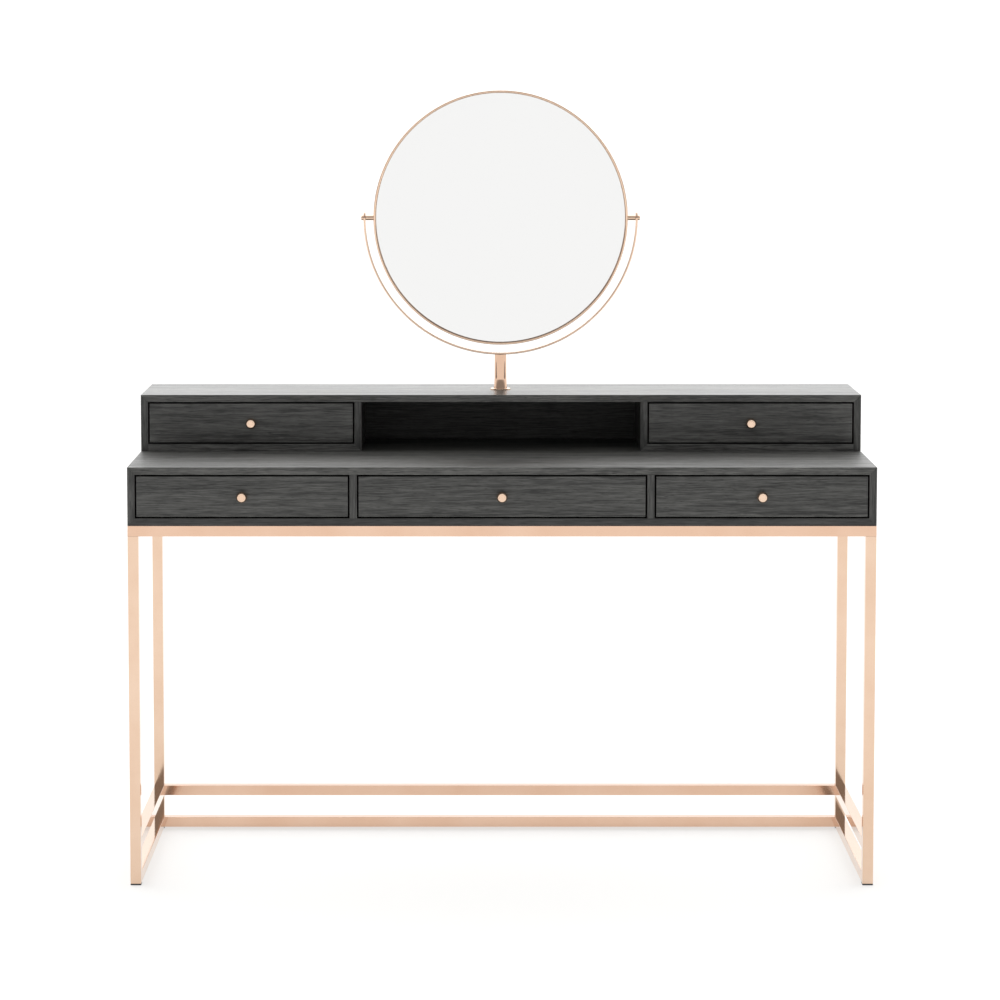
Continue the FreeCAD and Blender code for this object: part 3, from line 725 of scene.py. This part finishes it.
@dataclass
class MetalFrame:
    """Square-tube frame with rounded tube corners."""

    finishes: Finishes
    corner: float = 0.0005
    corner_steps: int = 3
    shortest_tube_edge: float = 0.05
    glide_rounding: float = 0.0006
    glide_steps: int = 2
    shortest_glide_edge: float = 0.002
    tubes: dict[Along, tuple[str, ...]] = field(default_factory=lambda: {
        Along.X: ("top_front_rail", "top_back_rail", "bottom_back", "stretcher_back"),
        Along.Y: ("top_left_rail", "top_right_rail", "bottom_left", "bottom_right",
                  "stretcher_left", "stretcher_right"),
        Along.Z: ("leg_front_left", "leg_front_right", "leg_back_left", "leg_back_right"),
    })

    def build(self) -> None:
        """Make the tubes, glides and screws."""
        for along, names in self.tubes.items():
            for name in names:
                self._tube(name, along)
        softened("leg_glides", self.finishes.plastic, self.glide_rounding, self.glide_steps,
                 self.shortest_glide_edge)
        dress(["frame_screws"], self.finishes.steel)

    def _tube(self, name: str, along: Along) -> None:
        """Round the four long outer edges of one tube.

        Args:
            name: the tube's node.
            along: the direction of its length.
        """
        low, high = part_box(name)
        axis = Vector(along.value)
        across = [order for order in range(3) if not along.value[order]]

        def outer(edge: bmesh.types.BMEdge) -> bool:
            """Say whether an edge is one of the four long outer ones.

            Args:
                edge: an edge of the tube.

            Returns:
                True for an outer edge along the tube.
            """
            run = (edge.verts[1].co - edge.verts[0].co).normalized()
            if abs(run.dot(axis)) < 0.99:
                return False
            middle = (edge.verts[0].co + edge.verts[1].co) / 2
            return all(min(abs(middle[order] - low[order]),
                           abs(middle[order] - high[order])) < SAME_PLACE
                       for order in across)

        # Tubes along X get the darker rose gold copy, which is painted shade.
        softened(name, self.finishes.metal[along], self.corner, self.corner_steps,
                 self.shortest_tube_edge, outer)


@dataclass
class WoodCases:
    """Desk case and hutch with their runners and screws."""

    finishes: Finishes
    arris: float = 0.0005
    arris_steps: int = 2
    shadow_arris: float = 0.0013
    shadow_arris_steps: int = 3
    bottoms: tuple[str, ...] = ("hutch_left_bottom", "hutch_right_bottom")
    backs: tuple[str, ...] = ("desk_back", "hutch_back")
    upright: tuple[str, ...] = ("desk_left_side", "desk_right_side", "desk_left_divider",
                                "desk_right_divider", "hutch_left_side", "hutch_right_side",
                                "hutch_left_divider", "hutch_right_divider")

    def build(self) -> None:
        """Make the boards."""
        # Painted light and shade: the tops and hutch bottoms get lightened veneer copies, the
        # backs and the desk base darkened ones.
        self._board("desk_top", self.finishes.desk_top)
        self._board("hutch_top", self.finishes.hutch_top)
        for name in self.bottoms:
            self._board(name, self.finishes.level)
        for name in self.backs:
            self._board(name, self.finishes.backs)
        softened("desk_bottom", self.finishes.base, self.shadow_arris,
                 self.shadow_arris_steps, choose=self._lowest)
        for name in self.upright:
            self._board(name, self.finishes.upright)
        dress(["desk_runners", "hutch_runners"], self.finishes.ply)
        dress(["hutch_screws", "mirror_stem_bolt"], self.finishes.steel)

    @staticmethod
    def _lowest(edge: bmesh.types.BMEdge) -> bool:
        """Say whether an edge lies at the underside of the desk case."""
        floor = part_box("desk_bottom")[0].z
        return all(abs(corner.co.z - floor) < SAME_PLACE for corner in edge.verts)

    def _board(self, name: str, material: bpy.types.Material) -> None:
        """Ease the edges of one board."""
        softened(name, material, self.arris, self.arris_steps)


@dataclass
class Knob:
    """Small round knob with a foot, a waist and a flat face."""

    material: bpy.types.Material
    steel: bpy.types.Material
    foot_radius: float = 0.0055
    foot_side: float = 0.0012
    foot_rounding: float = 0.0006
    neck_radius: float = 0.0040
    neck_foot: float = 0.0022
    waist_radius: float = 0.00368
    waist_share: float = 0.55
    head_depth: float = 0.0080
    head_seat: float = 0.0001
    head_radius: float = 0.0104
    head_slope: float = 22.0
    face_radius: float = 0.0078
    face_rounding: float = 0.0005
    back_rounding: float = 0.0014
    dish_radius: float = 0.0052
    dish: float = 0.0003
    turns: int = 64
    screw_radius: float = 0.0040
    screw_head: float = 0.0025
    screw_lip: float = 0.001125
    screw_crown: float = 0.0018
    screw_recess: float = 0.00088
    screw_recess_floor: float = 0.0008
    screw_recess_depth: float = 0.0009
    screw_recess_tip: float = 0.0011
    screw_turns: int = 32

    def profile(self, reach: float) -> Profile:
        """Return the outline from the drawer front to the face.

        Args:
            reach: distance from the drawer front to the knob's face.

        Returns:
            The outline as radius and height.
        """
        head = reach - self.head_depth
        core = self.head_radius - self.back_rounding
        edge = self.face_radius - self.face_rounding
        return [
            (0.0, 0.0),
            (self.foot_radius, 0.0),
            *arc((self.foot_radius - self.foot_rounding, self.foot_side),
                 self.foot_rounding, 0.0, 90.0, 3),
            (self.neck_radius, self.neck_foot),
            (self.waist_radius, head * self.waist_share),
            (self.neck_radius, head + 2 * self.head_seat),
            *arc((core, head + self.head_seat + self.back_rounding),
                 self.back_rounding, -80.0, self.head_slope, 8),
            *arc((edge, reach - self.face_rounding),
                 self.face_rounding, self.head_slope, 90.0, 5),
            (self.dish_radius + self.dish, reach),
            (self.dish_radius, reach - self.dish),
            (0.0, reach - self.dish),
        ]

    def build(self, node: str, front_y: float) -> None:
        """Make one knob.

        Args:
            node: the knob's CAD node.
            front_y: where the drawer front's face stands.
        """
        low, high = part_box(node)
        middle_x = (low.x + high.x) / 2
        middle_z = (low.z + high.z) / 2
        reach = front_y - low.y

        def outwards(across: float, up: float, height: float) -> Vector:
            """Take a profile point to the front of the drawer."""
            return Vector((middle_x + across, front_y - height, middle_z + up))

        mesh = lathe(f"{node}_shape", self.profile(reach), self.turns, outwards)
        adopt(link(f"{node}_turned", mesh, self.material), node)
        self._screw(node, Vector((middle_x, high.y, middle_z)))

    def _screw(self, node: str, end: Vector) -> None:
        """Make the pan head of the knob's screw inside the drawer.

        Args:
            node: the knob's CAD node.
            end: the outer end of the screw head.
        """
        crown = self.screw_crown
        profile = [(self.screw_radius, -self.screw_head),
                   (self.screw_radius, -self.screw_lip),
                   *arc((self.screw_radius - crown, -crown), crown, 0.0, 80.0, 5),
                   (self.screw_recess, 0.0),
                   (self.screw_recess_floor, -self.screw_recess_depth),
                   (0.0, -self.screw_recess_tip)]
        mesh = lathe(f"{node}_screw_shape", profile, self.screw_turns,
                     lambda across, up, height: Vector((end.x + across, end.y + height,
                                                        end.z + up)))
        head = link(f"{node}_screw", mesh, self.steel)
        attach(head, NODES[node]["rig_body"])
        LOG.info("%s added to %s", head.name, node)


@dataclass
class Drawer:
    """One drawer: veneered front, plywood box and knob."""

    name: str
    finishes: Finishes
    arris: float = 0.0006
    arris_steps: int = 3
    box_arris: float = 0.0004
    box_arris_steps: int = 2

    def build(self) -> None:
        """Make the three pieces."""
        front = f"{self.name}_front"
        case = self.name.split("_")[0]
        softened(front, self.finishes.fronts[case], self.arris, self.arris_steps)
        softened(f"{self.name}_box", self.finishes.ply, self.box_arris, self.box_arris_steps)
        knob = Knob(self.finishes.turned, self.finishes.steel)
        knob.build(f"{self.name}_knob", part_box(front)[0].y)


@dataclass
class MirrorStand:
    """Flange, tapered stem, fork, pivots and the tilting mirror."""

    finishes: Finishes
    turns: int = 256

    # mirror
    ring_band: float = 0.004
    ring_lip: float = 0.008
    ring_lip_depth: float = 0.0025
    glass_rim: float = 0.0008
    backing_rim: float = 0.0005
    rounding: float = 0.0013

    # fork
    fork_band: float = 0.004
    fork_steps: int = 150
    eye_steps: int = 12

    # flange and stem
    flange_rounding: float = 0.0010
    flange_turns: int = 128
    stem_turns: int = 96
    stem_steps: int = 28
    stem_straight: float = 0.905
    stem_taper: float = 0.025
    stem_flare: float = 0.095
    stem_flare_power: float = 1.15
    stem_flare_share: float = 0.30
    stem_cut: float = 0.0008
    stem_gap: float = 0.0001

    # pivots
    pivot_turns: int = 48
    stud_radius: float = 0.0020
    stud_length: float = 0.0038
    stud_point: float = 0.0003
    neck_radius: float = 0.0030
    neck_length: float = 0.0048
    collar_edge: float = 0.0004
    collar_gap: float = 0.00005
    fork_gap: float = 0.0003
    cap_edge: float = 0.0003
    cap_dome: float = 0.45

    # taken from the CAD pieces
    centre: Vector = field(init=False)
    foot: Vector = field(init=False)
    ring_radius: float = field(init=False)
    fork_radius: float = field(init=False)
    depth: float = field(init=False)

    def __post_init__(self) -> None:
        """Take the stand's places and sizes from its CAD pieces."""
        low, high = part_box("mirror_ring")
        self.centre = (low + high) / 2
        self.ring_radius = min(high.x - low.x, high.z - low.z) / 2
        self.depth = high.y - low.y
        flange_low, flange_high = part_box("mirror_flange")
        self.foot = (flange_low + flange_high) / 2
        yoke_low, yoke_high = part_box("mirror_yoke")
        self.fork_radius = (yoke_high.x - yoke_low.x) / 2

    def build(self) -> None:
        """Make every piece of the mirror and its stand."""
        self._ring()
        self._plate("mirror_glass", self.finishes.silver, self.glass_rim)
        self._plate("mirror_backing", self.finishes.backing, self.backing_rim)
        self._fork()
        self._flange()
        self._stem()
        self._pivots()

    def _facing(self, across: float, up: float, height: float) -> Vector:
        """Take a profile point round the mirror's own axis to the table's frame."""
        return Vector((self.centre.x + across, self.centre.y + height, self.centre.z + up))

    def _standing(self, across: float, deep: float, height: float) -> Vector:
        """Take a profile point round the stand's upright axis to the table's frame."""
        return Vector((self.foot.x + across, self.foot.y + deep, height))

    def _ring(self) -> None:
        """Make the band that holds the glass."""
        inner = self.ring_radius - self.ring_band
        lip = inner - self.ring_lip
        half = self.depth / 2
        shelf = half - self.ring_lip_depth
        edge = self.rounding
        profile = [
            *arc((inner + edge, -half + edge), edge, 180.0, 270.0, 3),
            *arc((self.ring_radius - edge, -half + edge), edge, -90.0, 0.0, 3),
            *arc((self.ring_radius - edge, half - edge), edge, 0.0, 90.0, 3),
            *arc((lip + edge, half - edge), edge, 90.0, 180.0, 3),
            (lip, shelf),
            (inner, shelf),
        ]
        mesh = lathe("mirror_ring_shape", profile, self.turns, self._facing, closed=True)
        made = link("mirror_ring_band", mesh, self.finishes.turned)
        weigh(made)
        adopt(made, "mirror_ring")

    def _plate(self, node: str, material: bpy.types.Material, rim: float) -> None:
        """Make a round plate with a bevelled rim.

        Args:
            node: the plate's CAD node.
            material: its finish.
            rim: width of the bevel.
        """
        low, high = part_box(node)
        radius = (high.x - low.x) / 2
        front, back = low.y - self.centre.y, high.y - self.centre.y
        profile = [
            (0.0, front), (radius - 3 * rim, front), (radius - rim, front),
            (radius, front + rim), (radius, back - rim), (radius - rim, back), (0.0, back),
        ]
        mesh = lathe(f"{node}_shape", profile, self.turns, self._facing)
        made = link(f"{node}_plate", mesh, material)
        weigh(made)
        adopt(made, node)

    def _fork_angles(self, lift: float) -> list[float]:
        """Return where the fork's cross sections stand, closer together at the eyes.

        Args:
            lift: how far each eye reaches above the pivots, as an angle.

        Returns:
            Angles from the right eye round the bottom to the left eye.
        """
        eye = [lift * math.sin(math.pi / 2 * step / self.eye_steps)
               for step in range(1, self.eye_steps)]
        bow = [math.pi * step / self.fork_steps for step in range(self.fork_steps + 1)]
        return [-angle for angle in reversed(eye)] + bow + [math.pi + angle for angle in eye]

    def _fork_section(self, inner: float, outer: float, width: float) -> Profile:
        """Return one cross section of the flat bar.

        Args:
            inner: radius of the bar's inner face.
            outer: radius of the bar's outer face.
            width: half of the bar's width at this place.

        Returns:
            The outline as radius and depth.
        """
        edge = min(self.rounding, width * 0.5)
        return [
            *arc((inner + edge, -width + edge), edge, 180.0, 270.0, 2),
            *arc((outer - edge, -width + edge), edge, -90.0, 0.0, 2),
            *arc((outer - edge, width - edge), edge, 0.0, 90.0, 2),
            *arc((inner + edge, width - edge), edge, 90.0, 180.0, 2),
        ]

    def _fork(self) -> None:
        """Sweep the flat bar round the lower half and up into two round eyes."""
        outer = self.fork_radius
        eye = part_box("mirror_yoke")[1].z - self.centre.z
        work = bmesh.new()
        rows = []
        for angle in self._fork_angles(math.asin(eye / outer)):
            above = max(0.0, -outer * math.sin(angle))
            width = min(self.depth / 2, math.sqrt(eye * eye - above * above))
            rows.append([work.verts.new(self._facing(
                reach * math.cos(angle), -reach * math.sin(angle), depth))
                for reach, depth in self._fork_section(outer - self.fork_band, outer, width)])
        for before, after in zip(rows, rows[1:]):
            for order, corner in enumerate(before):
                following = (order + 1) % len(before)
                work.faces.new([corner, before[following], after[following], after[order]])
        work.faces.new(rows[0])
        work.faces.new(rows[-1][::-1])
        bmesh.ops.recalc_face_normals(work, faces=work.faces)
        mesh = bpy.data.meshes.new("mirror_yoke_shape")
        work.to_mesh(mesh)
        work.free()
        smooth(mesh, BAR_CREASE)
        made = link("mirror_yoke_bar", mesh, self.finishes.turned)
        weigh(made)
        adopt(made, "mirror_yoke")

    def _flange(self) -> None:
        """Make the round flange on the upper case."""
        low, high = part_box("mirror_flange")
        radius = (high.x - low.x) / 2
        edge = self.flange_rounding
        profile = [(0.0, low.z), (radius, low.z),
                   *arc((radius - edge, high.z - edge), edge, 0.0, 90.0, 4),
                   (0.0, high.z)]
        mesh = lathe("mirror_flange_shape", profile, self.flange_turns, self._standing)
        made = link("mirror_flange_disc", mesh, self.finishes.turned)
        weigh(made)
        adopt(made, "mirror_flange")

    def _stem(self) -> None:
        """Make the tapered stem, whose top is hollowed to the curve of the fork."""
        low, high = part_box("mirror_stem")
        thickest = (high.x - low.x) / 2
        top = high.z - self.stem_cut
        height = high.z - low.z - self.stem_cut
        curve = [(self._stem_radius(thickest, step / self.stem_steps),
                  low.z + height * step / self.stem_steps)
                 for step in range(self.stem_steps + 1)]
        mesh = lathe("mirror_stem_shape", [(0.0, low.z), *curve, (0.0, top)],
                     self.stem_turns, self._standing)
        reach = self.fork_radius + self.stem_gap
        for vertex in mesh.vertices:
            if vertex.co.z > top - SAME_PLACE:
                across = vertex.co.x - self.foot.x
                vertex.co.z = self.centre.z - math.sqrt(reach * reach - across * across)
        # The stem's darker rose gold is a painted reflection of the dark case.
        adopt(link("mirror_stem_post", mesh, self.finishes.stem), "mirror_stem")

    def _stem_radius(self, thickest: float, share: float) -> float:
        """Return the stem's radius: a slight taper that flares out near the flange.

        Args:
            thickest: the greatest radius, at the flange.
            share: height as a share of the stem's length.

        Returns:
            The radius at that height.
        """
        straight = thickest * (self.stem_straight - self.stem_taper * share)
        flare = max(0.0, 1.0 - share / self.stem_flare_share)
        return straight + thickest * self.stem_flare * flare ** self.stem_flare_power

    def _pin_profile(self, radius: float) -> Profile:
        """Return the outline of a pivot pin, from inside the ring out through the fork.

        Args:
            radius: radius of the pin's collar.

        Returns:
            The outline as radius and distance from the middle.
        """
        edge = self.collar_edge
        start = self.ring_radius - self.collar_gap
        end = self.fork_radius - self.fork_band - self.fork_gap
        root = self.ring_radius - self.stud_length
        tip = end + self.neck_length
        return [
            (0.0, root), (self.stud_radius, root + self.stud_point), (self.stud_radius, start),
            (radius - edge, start), (radius, start + edge), (radius, end - edge),
            (radius - edge, end), (self.neck_radius, end), (self.neck_radius, tip), (0.0, tip),
        ]

    def _cap_profile(self, radius: float, start: float, end: float) -> Profile:
        """Return the outline of a domed cap.

        Args:
            radius: the cap's radius.
            start: distance of its flat side from the middle.
            end: distance of its top from the middle.

        Returns:
            The outline as radius and distance from the middle.
        """
        edge = self.cap_edge
        dome = (end - start) * self.cap_dome
        return [
            (0.0, start), (radius - edge, start), (radius, start + edge), (radius, end - dome),
            *arc((radius - dome, end - dome), dome, 15.0, 90.0, 6),
            (0.0, end),
        ]

    def _pivots(self) -> None:
        """Make the two pins and the two domed caps."""
        pin_low, pin_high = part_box("mirror_pivot_pins")
        cap_low, cap_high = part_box("mirror_pivot_caps")
        self._both_sides("mirror_pivot_pins", self._pin_profile((pin_high.z - pin_low.z) / 2))
        self._both_sides("mirror_pivot_caps",
                         self._cap_profile((cap_high.z - cap_low.z) / 2,
                                           self.fork_radius + self.fork_gap, cap_high.x))

    def _both_sides(self, node: str, profile: Profile) -> None:
        """Turn a profile at both ends of the mirror's axis.

        Args:
            node: the CAD node that holds both pieces.
            profile: radius and distance from the middle.
        """
        work = bmesh.new()
        for side in (1.0, -1.0):
            mesh = lathe(f"{node}_half", profile, self.pivot_turns,
                         lambda across, up, height: self.centre + Vector(
                             (side * height, across, up)))
            work.from_mesh(mesh)
            bpy.data.meshes.remove(mesh)
        bmesh.ops.recalc_face_normals(work, faces=work.faces)
        both = bpy.data.meshes.new(f"{node}_shape")
        work.to_mesh(both)
        work.free()
        smooth(both, TURNED_CREASE)
        adopt(link(f"{node}_turned", both, self.finishes.turned), node)


# ------------------------------------------------------------------------- studio

@dataclass
class Studio:
    """Plain pale floor in a white studio that is brightest behind the table."""

    floor_radius: float = 400.0
    sky_strength: float = 3.2
    front_sky: tuple[tuple[float, float], ...] = (
        (0.0, 0.31), (0.50, 0.31), (0.515, 0.11), (0.62, 0.10), (1.0, 0.10),
    )
    back_sky: tuple[tuple[float, float], ...] = (
        (0.0, 0.36), (0.615, 0.37), (0.66, 1.0), (0.84, 1.0), (1.0, 0.45),
    )
    blend_reach: float = 0.25
    key_strength: float = 0.35
    key_angle: float = 70.0
    key_tilt: tuple[float, float] = (28.0, -12.0)
    floor_steps: int = 96
    floor_drop: float = 0.0002

    def build(self) -> None:
        """Make the floor and the lights."""
        self._floor()
        self._sky()
        self._key()
        view = bpy.context.scene.view_settings
        view.view_transform = "Standard"
        view.look = "None"
        view.exposure = 0.0
        view.gamma = 1.0

    def _floor(self) -> None:
        """Lay the round floor just under the glides."""
        work = bmesh.new()
        bmesh.ops.create_circle(work, cap_ends=True, cap_tris=False,
                                segments=self.floor_steps, radius=self.floor_radius)
        mesh = bpy.data.meshes.new("floor_shape")
        work.to_mesh(mesh)
        work.free()
        floor = link("floor", mesh, PaleFloor().make())
        floor.location.z = -self.floor_drop

    def _sky(self) -> None:
        """Light the scene with a sky that is brightest behind the table."""
        world = bpy.data.worlds.new("white_studio")
        graph = Graph(world, "ShaderNodeOutputWorld")
        where = graph.node("ShaderNodeTexCoord", {}, {}, "Generated")
        depth = graph.node("ShaderNodeSeparateXYZ", {}, {0: where}, "Y")
        height = graph.node("ShaderNodeSeparateXYZ", {}, {0: where}, "Z")
        share = graph.band(depth, -self.blend_reach, self.blend_reach)
        front, back = (
            graph.node("ShaderNodeValToRGB",
                       {"stops": [(place, (grey, grey, grey)) for place, grey in sky]},
                       {0: graph.band(height, -1.0, 1.0)})
            for sky in (self.front_sky, self.back_sky)
        )
        level = graph.node("ShaderNodeMix", {}, {0: share, 2: front, 3: back})
        graph.close(graph.node("ShaderNodeBackground", {},
                               {"Color": level, "Strength": self.sky_strength}))
        bpy.context.scene.world = world

    def _key(self) -> None:
        """Add the soft key light, high at the front left."""
        sun = bpy.data.lights.new("soft_key", "SUN")
        sun.energy = self.key_strength
        sun.angle = math.radians(self.key_angle)
        key = bpy.data.objects.new("soft_key", sun)
        tilt, roll = self.key_tilt
        key.rotation_euler = (math.radians(tilt), math.radians(roll), 0.0)
        bpy.context.scene.collection.objects.link(key)


@dataclass
class Viewpoint:
    """The camera, a long lens at the height of a standing person's eyes."""

    place: Triple = (-0.0532, -6.4595, 1.5248)
    pitch: float = 0.08512
    sensor: float = 36.0
    lens: float = 120.77
    shift_x: float = 0.02645
    shift_y: float = -0.140
    nearest: float = 0.1
    farthest: float = 1000.0

    def build(self) -> None:
        """Make the camera."""
        data = bpy.data.cameras.new("camera")
        data.sensor_width = self.sensor
        data.lens = self.lens
        data.shift_x = self.shift_x
        data.shift_y = self.shift_y
        data.clip_start = self.nearest
        data.clip_end = self.farthest
        camera = bpy.data.objects.new("camera", data)
        camera.location = self.place
        camera.rotation_euler = (math.pi / 2 - self.pitch, 0.0, 0.0)
        bpy.context.scene.collection.objects.link(camera)
        bpy.context.scene.camera = camera


def main() -> None:
    """Build every part in order."""
    logging.basicConfig(level=logging.INFO, format="%(message)s")
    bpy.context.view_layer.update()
    finishes = Finishes()
    MetalFrame(finishes).build()
    WoodCases(finishes).build()
    for name in sorted(body for body in frame["bodies"] if "drawer" in body):
        Drawer(name, finishes).build()
    MirrorStand(finishes).build()
    Studio().build()
    Viewpoint().build()


if __name__ == "__main__":
    main()
